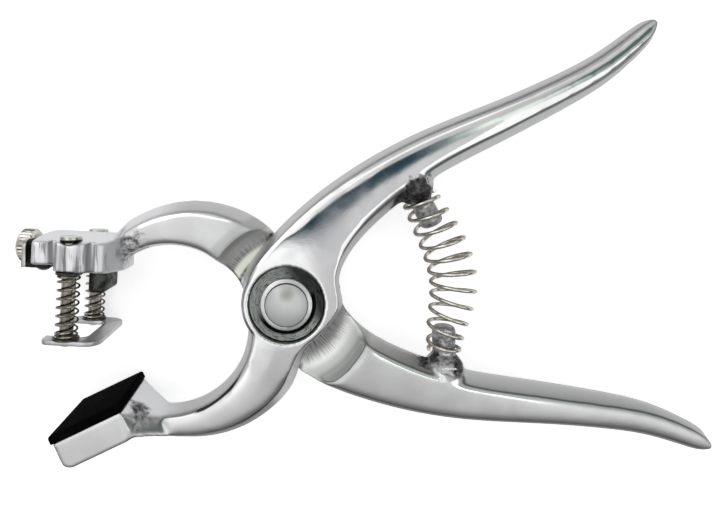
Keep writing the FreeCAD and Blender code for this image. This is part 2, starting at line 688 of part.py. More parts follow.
half = CHANNEL_WIDTH / 2 - PLATE_CLEARANCE
tongue = SCREW_RADIUS + SLOT_CLEARANCE - PLATE_CLEARANCE
plate_back = plate_front + PLATE_THICKNESS
plate = box((plate_front, plate_back), (PLATE_CLEARANCE, CHANNEL_DEPTH - PLATE_CLEARANCE), (-half, half))
plate = plate.fuse(box((plate_front, plate_back), (1, SCREW_HEIGHT + tongue), (-tongue, tongue)))
pit = rod(SCREW_TIP_RADIUS + SCREW_CLEARANCE, plate_front - 1, tip_end + SCREW_CLEARANCE, screw_line, X_AXIS)
save(in_head(plate.cut(pit)), "pressure_plate")

# Stop block at the back of the channel
half = STOP_WIDTH / 2
block = box((stop_front, CHANNEL_BACK), (-STOP_DROP, CHANNEL_DEPTH), (-half, half))
low = [e for e in block.Edges if e.BoundBox.YMax < 0.01 - STOP_DROP and e.BoundBox.XLength < 0.01]
save(in_head(block.makeFillet(STOP_EDGE, low)), "stop_block")

# Ejector: open frame on two guide pins, with a spring and two washers on each
half = (PIN_SPACING + FRAME_BAR) / 2
frame = box((-FRAME_FRONT, FRAME_REAR), (-FRAME_DROP, frame_top), (-half, half))
uprights = [e for e in frame.Edges if e.BoundBox.YLength > FRAME_THICKNESS - 0.01]
frame = frame.makeFillet(FRAME_CORNER, [e for e in uprights if e.BoundBox.XMin > 0])
frame = frame.makeFillet(FRAME_BAR / 2 - 0.1, [e for e in frame.Edges
                         if e.BoundBox.YLength > FRAME_THICKNESS - 0.01 and e.BoundBox.XMax < 0.01 - FRAME_FRONT])
half -= FRAME_BAR
window = box((-FRAME_FRONT - 1, FRAME_REAR - FRAME_BAR), (-FRAME_DROP - 1, 0), (-half, half))
window = window.makeFillet(FRAME_CORNER / 2, [e for e in window.Edges
                           if e.BoundBox.YLength > 5 and e.BoundBox.XMin > 0])
frame = frame.cut(window)
for side, name in ((1, "near"), (-1, "far")):
    place = V(0, 0, side * PIN_SPACING / 2)
    frame = frame.cut(rod(PIN_SCREW_SHANK, -FRAME_DROP - 1, 0, place, Y_AXIS))
    head_seat = PIN_SEAT + WORKING_GAP
    pin = rod(PIN_RADIUS, frame_top, head_seat + 0.1, place, Y_AXIS)
    pin = pin.fuse(rod(PIN_HEAD_RADIUS, head_seat, head_seat + PIN_HEAD_HEIGHT, place, Y_AXIS))
    slot = box((-PIN_HEAD_RADIUS - 1, PIN_HEAD_RADIUS + 1),
               (head_seat + PIN_HEAD_HEIGHT - PIN_SLOT_DEPTH, HEAD_HEIGHT + OVERRUN),
               (place.z - PIN_SLOT / 2, place.z + PIN_SLOT / 2))
    pit = rod(PIN_SCREW_SHANK, frame_top - 1, PIN_SCREW_LENGTH - FRAME_DROP, place, Y_AXIS)
    save(in_head(pin.cut(slot).cut(pit)), "guide_pin_" + name)
    screw = dome_screw(PIN_SCREW_RADIUS, PIN_SCREW_DOME, PIN_SCREW_SHANK, PIN_SCREW_LENGTH,
                       place - Y_AXIS * FRAME_DROP, -Y_AXIS)
    save(in_head(screw), "pin_screw_" + name)
    for low, level in ((frame_top, "bottom"), (-SPRING_WASHER_THICKNESS, "top")):
        washer = rod(SPRING_WASHER_RADIUS, low, low + SPRING_WASHER_THICKNESS, place, Y_AXIS)
        washer = washer.cut(rod(PIN_RADIUS + PIN_CLEARANCE, -40, 40, place, Y_AXIS))
        save(in_head(washer), "washer_" + level + "_" + name)
    half_wire = PIN_WIRE / 2 + WORKING_GAP
    line = Part.LineSegment(place + Y_AXIS * (frame_top + SPRING_WASHER_THICKNESS + half_wire),
                            place - Y_AXIS * (SPRING_WASHER_THICKNESS + half_wire))
    save(in_head(coil(line, PIN_SPRING_RADIUS, 0, PIN_SPRING_TURNS, PIN_WIRE, 0.75)), "pin_spring_" + name)
save(in_head(frame), "ejector_frame")
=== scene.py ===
import math
import json

import bpy
import numpy
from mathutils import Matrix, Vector

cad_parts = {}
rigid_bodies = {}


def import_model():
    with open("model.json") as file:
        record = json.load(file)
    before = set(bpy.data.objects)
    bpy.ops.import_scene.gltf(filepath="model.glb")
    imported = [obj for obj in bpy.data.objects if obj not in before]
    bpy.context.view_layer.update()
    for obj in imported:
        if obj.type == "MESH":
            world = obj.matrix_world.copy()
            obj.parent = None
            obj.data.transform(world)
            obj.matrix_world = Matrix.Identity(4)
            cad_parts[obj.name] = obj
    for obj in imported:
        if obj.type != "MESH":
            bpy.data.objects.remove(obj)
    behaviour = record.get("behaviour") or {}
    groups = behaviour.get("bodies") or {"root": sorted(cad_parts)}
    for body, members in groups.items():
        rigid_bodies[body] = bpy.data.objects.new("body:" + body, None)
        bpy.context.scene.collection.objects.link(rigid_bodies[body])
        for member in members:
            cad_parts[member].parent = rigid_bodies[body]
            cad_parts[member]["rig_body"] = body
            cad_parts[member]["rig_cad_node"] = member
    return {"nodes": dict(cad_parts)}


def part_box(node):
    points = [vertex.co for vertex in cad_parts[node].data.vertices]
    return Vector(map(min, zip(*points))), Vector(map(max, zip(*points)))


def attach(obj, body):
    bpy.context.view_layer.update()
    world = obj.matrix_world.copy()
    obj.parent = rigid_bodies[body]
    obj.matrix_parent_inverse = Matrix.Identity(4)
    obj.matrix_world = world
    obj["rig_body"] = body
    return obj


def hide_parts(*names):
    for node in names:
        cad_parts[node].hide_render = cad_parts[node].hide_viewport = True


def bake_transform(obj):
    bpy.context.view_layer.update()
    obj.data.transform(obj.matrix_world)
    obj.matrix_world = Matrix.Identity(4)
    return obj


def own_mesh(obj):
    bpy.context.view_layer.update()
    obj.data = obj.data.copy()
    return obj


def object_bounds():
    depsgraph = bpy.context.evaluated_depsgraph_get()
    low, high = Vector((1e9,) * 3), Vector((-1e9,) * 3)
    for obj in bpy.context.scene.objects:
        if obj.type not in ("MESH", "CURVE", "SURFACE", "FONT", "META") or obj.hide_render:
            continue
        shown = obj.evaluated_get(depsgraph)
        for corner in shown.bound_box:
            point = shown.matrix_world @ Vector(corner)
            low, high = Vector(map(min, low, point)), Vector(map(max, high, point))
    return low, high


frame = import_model()
cad_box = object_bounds()
bpy.ops.object.select_all(action="DESELECT")

# The camera hangs above the pivot and looks straight down at the pliers.
# Its lens is shifted so that the tool fills the picture from one side to the other.
CAMERA_PLACE = (-0.00186, 0.0362, 0.16595)
bpy.ops.object.camera_add(location=CAMERA_PLACE)
camera = bpy.context.object
camera.name = "camera"
camera.data.sensor_width = 36.0
camera.data.lens = 25.36
camera.data.shift_x = 0.1133
camera.data.shift_y = -0.0994
camera.data.clip_start = 0.01
camera.data.clip_end = 10.0
bpy.context.scene.camera = camera
bpy.context.scene.view_settings.view_transform = "Standard"

# The floor is a plain white sheet under the pliers, a hair below the parts that rest on it.
# The camera and the metal see it as white, and it still takes the tool's soft shadow.
TOOL_MIDDLE = (0.03, 0.02)
SHEET_SIDE = 3.0
SHEET_GAP = 0.0002
SHEET_GLOW_SEEN = 0.62
SHEET_GLOW_MIRRORED = 0.24


def grey(level):
    """A grey as a full colour."""
    return (level, level, level, 1.0)


def new_material(name):
    """A material that uses nodes, and its node tree."""
    material = bpy.data.materials.new(name)
    material.use_nodes = True
    return material, material.node_tree


def put(tree, kind, inputs=(), **settings):
    """Adds a node with its settings, and sets or links its inputs by name or number."""
    made = tree.nodes.new(kind)
    for key, value in settings.items():
        setattr(made, key, value)
    for key, value in dict(inputs).items():
        if isinstance(value, bpy.types.NodeSocket):
            tree.links.new(value, made.inputs[key])
        else:
            made.inputs[key].default_value = value
    return made


def reckon(tree, operation, *values):
    """The result of a sum on values and sockets."""
    return put(tree, "ShaderNodeMath", dict(enumerate(values)), operation=operation).outputs[0]


def product(tree, first, *others):
    """All the masks multiplied together."""
    for other in others:
        first = reckon(tree, "MULTIPLY", first, other)
    return first


bpy.ops.mesh.primitive_plane_add(size=SHEET_SIDE, location=(*TOOL_MIDDLE, cad_box[0][2] - SHEET_GAP))
floor = bpy.context.object
floor.name = "floor"
bpy.ops.object.transform_apply(location=True)
white_sheet, tree = new_material("white_sheet")
sheet_shader = tree.nodes["Principled BSDF"]
sheet_shader.inputs["Base Color"].default_value = grey(0.86)
sheet_shader.inputs["Roughness"].default_value = 0.9
ray = put(tree, "ShaderNodeLightPath").outputs
mirrored = reckon(tree, "MAXIMUM", ray["Is Glossy Ray"], ray["Is Transmission Ray"])
mirrored = product(tree, mirrored, SHEET_GLOW_MIRRORED)
glow_level = reckon(tree, "MULTIPLY_ADD", ray["Is Camera Ray"], SHEET_GLOW_SEEN, mirrored)
glow = put(tree, "ShaderNodeEmission", {"Strength": glow_level}).outputs["Emission"]
lit_sheet = put(tree, "ShaderNodeAddShader", {0: sheet_shader.outputs["BSDF"], 1: glow}).outputs["Shader"]
tree.links.new(lit_sheet, tree.nodes["Material Output"].inputs["Surface"])
floor.data.materials.append(white_sheet)

# The studio is a pale tent with a broad white panel overhead that leans to the left,
# and a white strip behind it. Low down it is open and dark, most of all at the front,
# and the camera on its arm shows as a dark blue streak.
TENT_GREYS = ((0.0, 0.03), (0.12, 0.05), (0.24, 0.20), (0.40, 0.40), (0.62, 0.52), (0.80, 0.62))
TENT_CROWN = (0.64, 0.64, 0.65, 1.0)
TENT_CROWN_HEIGHT = 0.97
TENT_FRONT = (-0.35, -0.70)
TENT_FRONT_SHARE = 0.30
LOWEST_RISE = 0.05
# centre, half sides and turn on a ceiling one unit up, where the edge starts and ends, and colour
SKY_PANELS = (
    ((-0.32, -0.02), (0.42, 0.48), 0, 0.80, 1.15, (1.12, 1.12, 1.12, 1.0)),  # broad panel overhead
    ((-0.10, 0.46), (0.80, 0.17), 35, 0.60, 1.15, (1.12, 1.13, 1.12, 1.0)),  # white strip behind
    ((0.84, 0.46), (0.28, 0.20), 20, 0.60, 1.20, (0.09, 0.16, 0.13, 1.0)),  # dark green gap at the right
    ((0.165, 0.064), (0.33, 0.085), 25, 0.55, 1.15, (0.005, 0.035, 0.055, 1.0)),  # camera and arm
    ((0.54, 0.235), (0.28, 0.075), 25, 0.40, 1.20, (1.02, 1.16, 1.04, 1.0)),  # pale green sheet beyond it
)


def axes_of(tree, vector):
    """The X, Y and Z of a vector."""
    return put(tree, "ShaderNodeSeparateXYZ", {"Vector": vector}).outputs


def scaled(tree, vector, factor):
    """The vector or colour times one factor."""
    made = put(tree, "ShaderNodeVectorMath", {0: vector, "Scale": factor}, operation="SCALE")
    return made.outputs["Vector"]


def stretched(tree, vector, factors):
    """The vector with each of its axes times its own factor."""
    made = put(tree, "ShaderNodeVectorMath", {0: vector, 1: factors}, operation="MULTIPLY")
    return made.outputs["Vector"]


def measured(tree, operation, *vectors):
    """The length, distance or dot product of vectors."""
    return put(tree, "ShaderNodeVectorMath", dict(enumerate(vectors)), operation=operation).outputs["Value"]


def flat_reach(tree, place):
    """How far a place is from the upright axis through the origin."""
    return measured(tree, "LENGTH", stretched(tree, place, (1.0, 1.0, 0.0)))


def noise(tree, place, scale, detail, roughness=0.5):
    """A cloudy value about 0.5."""
    made = put(tree, "ShaderNodeTexNoise", {"Vector": place, "Scale": scale, "Detail": detail,
                                            "Roughness": roughness})
    return made.outputs["Fac"]


def ramped(tree, value, low, high, start=0.0, end=1.0):
    """A smooth step of value from start, at low, to end, at high."""
    made = put(tree, "ShaderNodeMapRange", {
        "Value": value, "From Min": low, "From Max": high, "To Min": start, "To Max": end},
        interpolation_type="SMOOTHSTEP")
    return made.outputs["Result"]


def colour_mix(tree, mask, low, high):
    """The colour that goes from low to high with the mask."""
    return put(tree, "ShaderNodeMix", {0: mask, 6: low, 7: high}, data_type="RGBA").outputs[2]


def value_mix(tree, mask, low, high):
    """The value that goes from low to high with the mask."""
    return put(tree, "ShaderNodeMix", {0: mask, 2: low, 3: high}, data_type="FLOAT").outputs[0]


def sky_panel(tree, flat, centre, size, turn, inner, outer):
    """Soft-edged mask of an oval panel, laid out on the ceiling."""
    laid = put(tree, "ShaderNodeMapping", {
        "Vector": flat, "Location": (*centre, 0.0), "Rotation": (0.0, 0.0, math.radians(turn)),
        "Scale": (*size, 1.0)}, vector_type="TEXTURE").outputs["Vector"]
    return ramped(tree, flat_reach(tree, laid), inner, outer, 1.0, 0.0)


studio = bpy.data.worlds.new("studio")
bpy.context.scene.world = studio
studio.use_nodes = True
tree = studio.node_tree
tent_way = put(tree, "ShaderNodeTexCoord").outputs["Generated"]
tent_axes = axes_of(tree, tent_way)
tent_ramp = put(tree, "ShaderNodeValToRGB", {"Fac": tent_axes["Z"]})
tent_stops = tent_ramp.color_ramp.elements
for rise, level in TENT_GREYS:
    stop = tent_stops.new(rise)
    stop.color = (level, level, level * 1.01, 1.0)
tent_stops.remove(tent_stops[0])
tent_stops[-1].position = TENT_CROWN_HEIGHT
tent_stops[-1].color = TENT_CROWN
tent_front = ramped(tree, tent_axes["Y"], *TENT_FRONT, 1.0, TENT_FRONT_SHARE)
tent_tone = scaled(tree, tent_ramp.outputs["Color"], tent_front)
tent_rise = reckon(tree, "MAXIMUM", tent_axes["Z"], LOWEST_RISE)
tent_flat = scaled(tree, tent_way, reckon(tree, "DIVIDE", 1.0, tent_rise))
for centre, size, turn, inner, outer, tone in SKY_PANELS:
    panel = sky_panel(tree, tent_flat, centre, size, turn, inner, outer)
    tent_tone = colour_mix(tree, panel, tent_tone, tone)
tent_folds = put(tree, "ShaderNodeMapRange", {
    "Value": noise(tree, tent_way, 2.2, 1.5, 0.4), "From Min": 0.35, "From Max": 0.65,
    "To Min": 0.85, "To Max": 1.10}).outputs["Result"]
tent_seen = put(tree, "ShaderNodeLightPath").outputs["Is Camera Ray"]
tent_tone = colour_mix(tree, tent_seen, tent_tone, grey(1.0))
tent_strength = value_mix(tree, tent_seen, tent_folds, 1.0)
tree.links.new(tent_strength, tree.nodes["Background"].inputs["Strength"])
tree.links.new(tent_tone, tree.nodes["Background"].inputs["Color"])

# Two square soft boxes hang left and right above the table and face the tool.
# They are weak, because most of the light comes from the tent.
SOFTBOX_SIDE = 0.50
for name, place, power in (
    ("softbox_left", (-0.42, 0.42, 0.50), 0.7),
    ("softbox_right", (0.55, -0.10, 0.55), 0.5),
):
    bpy.ops.object.light_add(type="AREA", location=place)
    softbox = bpy.context.object
    softbox.name = name
    softbox.data.size = SOFTBOX_SIDE
    softbox.data.energy = power
    aim = Vector((*TOOL_MIDDLE, 0.0)) - Vector(place)
    softbox.rotation_euler = aim.to_track_quat("-Z", "Y").to_euler()

# Both levers are aluminium castings, ground and polished by hand, with softly rounded edges.
# Each is a close copy of its solid whose sharp edges are melted a little, as a polishing wheel does.
# The faces are bright, the flanks carry painted shade, and the wheel missed the corners, which are still
# rough.
MID_PLANE = 0.00795
SKIN_VOXEL = 0.00042
SKIN_PASSES = 5
WHEEL_PASSES = 60
WHEEL_STEPS = 10
END_REACH = 0.020
JAW_TO_HANDLE = (-0.016, 0.016)
FLANK_LEVEL = (0.70, 0.87)
FLANK_CHANGE = (-0.040, -0.030)
FLANK_SHADE_TONES = ((0.90, 0.90, 0.92, 1.0), grey(0.66))
FLANK_ROUGHNESS = 0.40
CREASE_LEVEL = (0.62, 0.69, 0.73, 0.80)
CREASE_SIDE = (0.10, 0.35)
PAINTED_CREASE_SHADE_TONE = (0.24, 0.28, 0.26, 1.0)
STRIP_LEVEL = (0.83, 0.97)
STRIP_SIDE = (-0.05, -0.30)
STRIP_DOWNWARD = (-0.10, -0.35)
DOWNWARD_EDGE_SHADE_TONE = (0.26, 0.26, 0.25, 1.0)
SPOT_ROUGHNESS = 0.42
PIT_DEPTH = 0.00022


def copied(node, name):
    """A merged copy of a CAD node's mesh, as an object of its own."""
    source = frame["nodes"][node]
    bpy.ops.object.select_all(action="DESELECT")
    source.select_set(True)
    bpy.context.view_layer.objects.active = source
    bpy.ops.object.duplicate()
    piece = bpy.context.object
    piece.name = name
    piece.parent = None
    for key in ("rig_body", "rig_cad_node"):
        if key in piece:
            del piece[key]
    piece.data.materials.clear()
    bpy.ops.object.mode_set(mode="EDIT")
    bpy.ops.mesh.select_all(action="SELECT")
    bpy.ops.mesh.remove_doubles(threshold=0.000002)
    bpy.ops.object.mode_set(mode="OBJECT")
    return piece


def finish_piece(piece, material, body, node):
    """Gives a piece its material and body, and hides the CAD node that it stands for."""
    piece.data.materials.append(material)
    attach(piece, body)
    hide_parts(node)


def melted(piece, passes, group=""):
    """Smooths a piece's skin, most where its vertex group is full if one is named."""
    melt = piece.modifiers.new("melt", "SMOOTH")
    melt.factor = 0.5
    melt.iterations = passes
    melt.vertex_group = group
    bpy.ops.object.modifier_apply(modifier="melt")


def polished_copy(node, spared):
    """A copy of a CAD node with melted edges, which the wheel spared at some (x, y, radius, fade)."""
    piece = copied(node, node + "_polished")
    skin = piece.modifiers.new("skin", "REMESH")
    skin.mode = "VOXEL"
    skin.voxel_size = SKIN_VOXEL
    bpy.ops.object.modifier_apply(modifier="skin")
    melted(piece, SKIN_PASSES)
    places = numpy.empty(len(piece.data.vertices) * 3)
    piece.data.vertices.foreach_get("co", places)
    places = places.reshape(-1, 3)
    share = numpy.ones(len(places))
    for x, y, radius, fade in spared:
        reach = numpy.hypot(places[:, 0] - x, places[:, 1] - y)
        share = numpy.minimum(share, numpy.clip((reach - radius) / fade, 0.0, 1.0))
    worked = piece.vertex_groups.new(name="worked")
    steps = numpy.rint(share * WHEEL_STEPS).astype(int)
    for step in range(1, WHEEL_STEPS + 1):
        worked.add(numpy.nonzero(steps == step)[0].tolist(), step / WHEEL_STEPS, "REPLACE")
    melted(piece, WHEEL_PASSES, "worked")
    bpy.ops.object.shade_smooth()
    return piece


def blunted(piece, tip, back, length, pull, swell):
    """Rounds off a handle's end, over a length back from its tip, by pulling it back and widening it."""
    for vertex in piece.data.vertices:
        run = (vertex.co - tip).dot(back)
        off = vertex.co - tip - back * run
        if run < length and off.length < END_REACH:
            share = (1.0 - max(run, 0.0) / length) ** 2
            off.z = 0.0
            vertex.co += (back * pull + off * swell) * share


def new_group(name, inputs, outputs):
    """An empty node group with (name, kind, value) inputs and (name, kind) outputs."""
    group = bpy.data.node_groups.new(name, "ShaderNodeTree")
    for label, kind, value in inputs:
        socket = group.interface.new_socket(name=label, in_out="INPUT", socket_type="NodeSocket" + kind)
        if value is not None:
            socket.default_value = value
    for label, kind in outputs:
        group.interface.new_socket(name=label, in_out="OUTPUT", socket_type="NodeSocket" + kind)
    return group, group.nodes.new("NodeGroupInput").outputs, group.nodes.new("NodeGroupOutput").inputs


def own_place(tree):
    """Where a point of the piece is."""
    return put(tree, "ShaderNodeTexCoord").outputs["Object"]


def own_facing(tree):
    """The X, Y and Z of the way that the piece's skin faces."""
    return axes_of(tree, put(tree, "ShaderNodeTexCoord").outputs["Normal"])


def band(tree, value, low, full_from, full_to, high):
    """A mask that is full from full_from to full_to and fades out at low and high."""
    return product(tree, ramped(tree, value, low, full_from), ramped(tree, value, full_to, high, 1.0, 0.0))


def bumped(tree, height, depth, normal=None):
    """The skin's normal under a relief of that depth, on top of another normal if one is given."""
    inputs = {"Height": height, "Distance": depth}
    if normal is not None:
        inputs["Normal"] = normal
    return put(tree, "ShaderNodeBump", inputs).outputs["Normal"]


# Metal skin: clouds of two tones, clouds of roughness, and a fine grain
metal_skin, given, result = new_group(
    "metal_skin",
    [("Place", "Vector", None), ("Light", "Color", grey(0.8)), ("Dark", "Color", grey(0.5)),
     ("Cloud Scale", "Float", 90.0), ("Rough Low", "Float", 0.2), ("Rough High", "Float", 0.35),
     ("Grain Scale", "Float", 900.0), ("Grain Depth", "Float", 0.00001)],
    [("Color", "Color"), ("Roughness", "Float"), ("Normal", "Vector")])
clouds = ramped(metal_skin, noise(metal_skin, given["Place"], given["Cloud Scale"], 6.0), 0.36, 0.62)
cloud_roughness = value_mix(metal_skin, clouds, given["Rough High"], given["Rough Low"])
grain = noise(metal_skin, given["Place"], given["Grain Scale"], 3.0)
metal_skin.links.new(colour_mix(metal_skin, clouds, given["Dark"], given["Light"]), result["Color"])
metal_skin.links.new(cloud_roughness, result["Roughness"])
metal_skin.links.new(bumped(metal_skin, grain, given["Grain Depth"]), result["Normal"])

# Soft round patch with a ragged edge, for what the polishing wheel missed
PATCH_RAG = 0.006
rough_patch, given, result = new_group(
    "rough_patch",
    [("Place", "Vector", None), ("Centre", "Vector", None), ("Radius", "Float", 0.006),
     ("Fade", "Float", 0.003)],
    [("Mask", "Float")])
patch_reach = measured(rough_patch, "DISTANCE", given["Place"], given["Centre"])
patch_rag = noise(rough_patch, given["Place"], 350.0, 3.0)
patch_reach = reckon(rough_patch, "MULTIPLY_ADD", patch_rag, PATCH_RAG, patch_reach)
patch_edge = reckon(rough_patch, "ADD", given["Radius"], given["Fade"])
patch_mask = ramped(rough_patch, patch_reach, given["Radius"], patch_edge, 1.0, 0.0)
rough_patch.links.new(patch_mask, result["Mask"])

# Rings that a lathe or cutter leaves round the pivot's axis, between 0 and 1
RING_WOBBLE = 0.0005
turned_rings, given, result = new_group(
    "turned_rings", [("Place", "Vector", None), ("Pitch", "Float", 0.0004)],
    [("Rings", "Float"), ("Radius", "Float")])
ring_reach = flat_reach(turned_rings, given["Place"])
ring_wobble = noise(turned_rings, given["Place"], 300.0, 2.0)
ring_turn = reckon(turned_rings, "MULTIPLY_ADD", ring_wobble, RING_WOBBLE, ring_reach)
ring_turn = product(turned_rings, reckon(turned_rings, "DIVIDE", ring_turn, given["Pitch"]), 2 * math.pi)
ring_wave = reckon(turned_rings, "MULTIPLY_ADD", reckon(turned_rings, "SINE", ring_turn), 0.5, 0.5)
turned_rings.links.new(ring_wave, result["Rings"])
turned_rings.links.new(ring_reach, result["Radius"])


def round_the_pivot(tree, place, across, out):
    """A place by its angle and distance round the pivot's axis, stretched across and out for a noise."""
    axes = axes_of(tree, place)
    angle = reckon(tree, "ARCTAN2", axes["Y"], axes["X"])
    laid = put(tree, "ShaderNodeCombineXYZ", {"X": angle, "Y": flat_reach(tree, place)}).outputs["Vector"]
    return stretched(tree, laid, (across, out, 1.0))


def lever_finish(name, rough_spots, inner, light, dark, satin, satin_roughness):
    """Polished casting with painted shade on flanks, creases and downward edges, rough spots, and its open
    ends.

    The handle's inner side faces towards inner in y. The metal turns satin along x, over the satin pair.
    """
    material, tree = new_material(name)
    place = own_place(tree)
    facing = own_facing(tree)
    along = axes_of(tree, place)["X"]
    skin = put(tree, "ShaderNodeGroup", {
        "Place": place, "Light": grey(light), "Dark": grey(dark), "Cloud Scale": 90.0, "Rough Low": 0.09,
        "Rough High": 0.15, "Grain Scale": 1500.0, "Grain Depth": 0.000004}, node_tree=metal_skin).outputs
    # level is 1 on the flat faces, 0 on upright flanks and between the two on bevels and rounded edges
    level = reckon(tree, "ABSOLUTE", facing["Z"])
    flank = ramped(tree, level, *FLANK_LEVEL, 1.0, 0.0)
    # painted shade: the flanks are painted grey along the handles and kept pale towards the head
    flank_shade_tone = colour_mix(tree, ramped(tree, along, *FLANK_CHANGE), *FLANK_SHADE_TONES)
    colour = colour_mix(tree, flank, skin["Color"], flank_shade_tone)
    # side is above 0 where the skin faces the other lever and below 0 where it faces away
    side = product(tree, ramped(tree, along, *JAW_TO_HANDLE, -1.0, 1.0), facing["Y"], inner)
    # painted shade: a thin dark line along the crease on the side that faces the other lever
    crease = product(tree, band(tree, level, *CREASE_LEVEL), ramped(tree, side, *CREASE_SIDE))
    colour = colour_mix(tree, crease, colour, PAINTED_CREASE_SHADE_TONE)
    # painted shade: a dark strip along outer edges that face away from the other lever and downwards
    strip = product(tree, ramped(tree, level, *STRIP_LEVEL, 1.0, 0.0), ramped(tree, side, *STRIP_SIDE),
                    ramped(tree, facing["Y"], *STRIP_DOWNWARD))
    colour = colour_mix(tree, strip, colour, DOWNWARD_EDGE_SHADE_TONE)
    roughness = value_mix(tree, ramped(tree, along, *satin), skin["Roughness"], satin_roughness)
    roughness = value_mix(tree, flank, roughness, FLANK_ROUGHNESS)
    pits = ramped(tree, noise(tree, place, 700.0, 5.0, 0.6), 0.30, 0.70)
    rough = 0.0
    for centre, radius, fade, low, high in rough_spots:
        spot = put(tree, "ShaderNodeGroup", {
            "Place": place, "Centre": centre, "Radius": radius, "Fade": fade}, node_tree=rough_patch)
        spot = spot.outputs["Mask"]
        colour = colour_mix(tree, spot, colour, colour_mix(tree, pits, grey(low), grey(high)))
        rough = reckon(tree, "MAXIMUM", rough, spot)
    roughness = value_mix(tree, rough, roughness, SPOT_ROUGHNESS)
    return material, tree, place, colour, roughness, product(tree, pits, rough), skin["Normal"]


def join_shader(tree, colour, roughness, normal, metallic=1.0):
    """Joins a finish to its shader."""
    shader = tree.nodes["Principled BSDF"]
    shader.inputs["Metallic"].default_value = metallic
    tree.links.new(colour, shader.inputs["Base Color"])
    tree.links.new(roughness, shader.inputs["Roughness"])
    tree.links.new(normal, shader.inputs["Normal"])


# The anvil lever is polished bright on its handle and satin on its jaw.
# centre, radius and fade of what is rough, with the darkest and lightest grey of its pits
ANVIL_ROUGH_SPOTS = (
    ((-0.0438, -0.0378, 0.016), 0.0056, 0.0020, 0.20, 0.72),  # neck of the anvil block, below
    ((-0.0440, -0.0335, 0.016), 0.0058, 0.0020, 0.20, 0.72),  # neck, in the middle
    ((-0.0434, -0.0290, 0.014), 0.0055, 0.0020, 0.03, 0.26),  # neck, above
    ((0.0440, 0.0262, 0.008), 0.0088, 0.0020, 0.30, 0.74),  # the spring's peg
    ((0.0348, 0.0306, 0.011), 0.0058, 0.0015, 0.03, 0.16),  # corner beside the peg
    ((0.0398, 0.0336, 0.013), 0.0070, 0.0015, 0.03, 0.16),  # root of the peg
)
anvil_metal, tree, place, colour, roughness, height, normal = lever_finish(
    "anvil_lever_metal", ANVIL_ROUGH_SPOTS, inner=-1.0, light=0.87, dark=0.80,
    satin=(-0.004, -0.026), satin_roughness=0.36)
axes = axes_of(tree, place)

# painted shade: the jaw's inner edge, which faces the other jaw, is painted near black
JAW_SHADE_ALONG = (-0.0280, -0.0262, -0.0160, -0.0125)
JAW_SHADE_BELOW = (-0.0150, -0.0165)
JAW_SHADE_LEVEL = (0.50, 0.60, 0.84, 0.92)
JAW_SHADE_INWARD = (0.05, 0.20)
JAW_SHADE_TONE = (0.06, 0.055, 0.055, 1.0)
facing = own_facing(tree)
jaw_shade = product(tree, band(tree, axes["X"], *JAW_SHADE_ALONG), ramped(tree, axes["Y"], *JAW_SHADE_BELOW),
               band(tree, facing["Z"], *JAW_SHADE_LEVEL), ramped(tree, facing["Y"], *JAW_SHADE_INWARD))
colour = colour_mix(tree, jaw_shade, colour, JAW_SHADE_TONE)

# the washer's sunk seat is scored all round by the cutter
SEAT_RIM = (0.01125, 0.01155)
SEAT_ABOVE = 0.0100
SEAT_RING_PITCH = 0.00042
SEAT_SCRATCHES = (0.38, 0.47)
SEAT_TONES = ((0.02, 0.025, 0.024, 1.0), (0.90, 0.94, 0.90, 1.0))
SEAT_ROUGHNESS = 0.34
rings = put(tree, "ShaderNodeGroup", {"Place": place, "Pitch": SEAT_RING_PITCH},
            node_tree=turned_rings).outputs
seat = product(tree, ramped(tree, rings["Radius"], *SEAT_RIM, 1.0, 0.0),
               reckon(tree, "GREATER_THAN", axes["Z"], SEAT_ABOVE))
scratches = noise(tree, round_the_pivot(tree, place, 4.0, 4200.0), 1.0, 5.0, 0.65)
seat_tone = colour_mix(tree, ramped(tree, scratches, *SEAT_SCRATCHES), *SEAT_TONES)

# painted shade: the seat is painted black in the washer's shadow, at its wall and towards the handle
WASHER_SHADOW_REACH = (0.0088, 0.0094)
SEAT_WALL = (0.01085, 0.01105)
WASHER_SHADOW_WAY = (0.50, -0.87, 0.0)
WASHER_SHADOW_START = (-0.0040, 0.0020)
HANDLE_WAY = (0.85, 0.53, 0.0)
HANDLE_START = (0.0030, 0.0080)
HANDLE_SHARE = 0.82
SEAT_SHADE_TONE = (0.012, 0.014, 0.014, 1.0)
washer_shadow = product(tree, ramped(tree, rings["Radius"], *WASHER_SHADOW_REACH, 1.0, 0.0),
                      ramped(tree, measured(tree, "DOT_PRODUCT", place, WASHER_SHADOW_WAY), *WASHER_SHADOW_START))
seat_wall_shade = ramped(tree, rings["Radius"], *SEAT_WALL)
seat_handle_shade = ramped(tree, measured(tree, "DOT_PRODUCT", place, HANDLE_WAY), *HANDLE_START, 0.0, HANDLE_SHARE)
seat_shade = reckon(tree, "MAXIMUM", reckon(tree, "MAXIMUM", washer_shadow, seat_wall_shade), seat_handle_shade)
seat_tone = colour_mix(tree, seat_shade, seat_tone, SEAT_SHADE_TONE)
colour = colour_mix(tree, seat, colour, seat_tone)
roughness = value_mix(tree, seat, roughness, SEAT_ROUGHNESS)
height = reckon(tree, "ADD", height, product(tree, rings["Rings"], seat))
join_shader(tree, colour, roughness, bumped(tree, height, PIT_DEPTH, normal))

# what the wheel spared: x, y, radius and fade
ANVIL_SPARED = (
    (0.0, 0.0, 0.0195, 0.005),  # boss
    (-0.0590, -0.0355, 0.0135, 0.0025),  # anvil block
    (0.0430, 0.0285, 0.005, 0.003),  # the spring's peg
    (0.1125, 0.0847, 0.003, 0.010),  # end of the handle
)
anvil_lever = polished_copy("anvil_lever", ANVIL_SPARED)
blunted(anvil_lever, tip=Vector((0.1156, 0.0865, MID_PLANE)), back=Vector((-0.833, -0.553, 0.0)),
        length=0.009, pull=0.0016, swell=0.45)
finish_piece(anvil_lever, anvil_metal, "anvil_side", "anvil_lever")

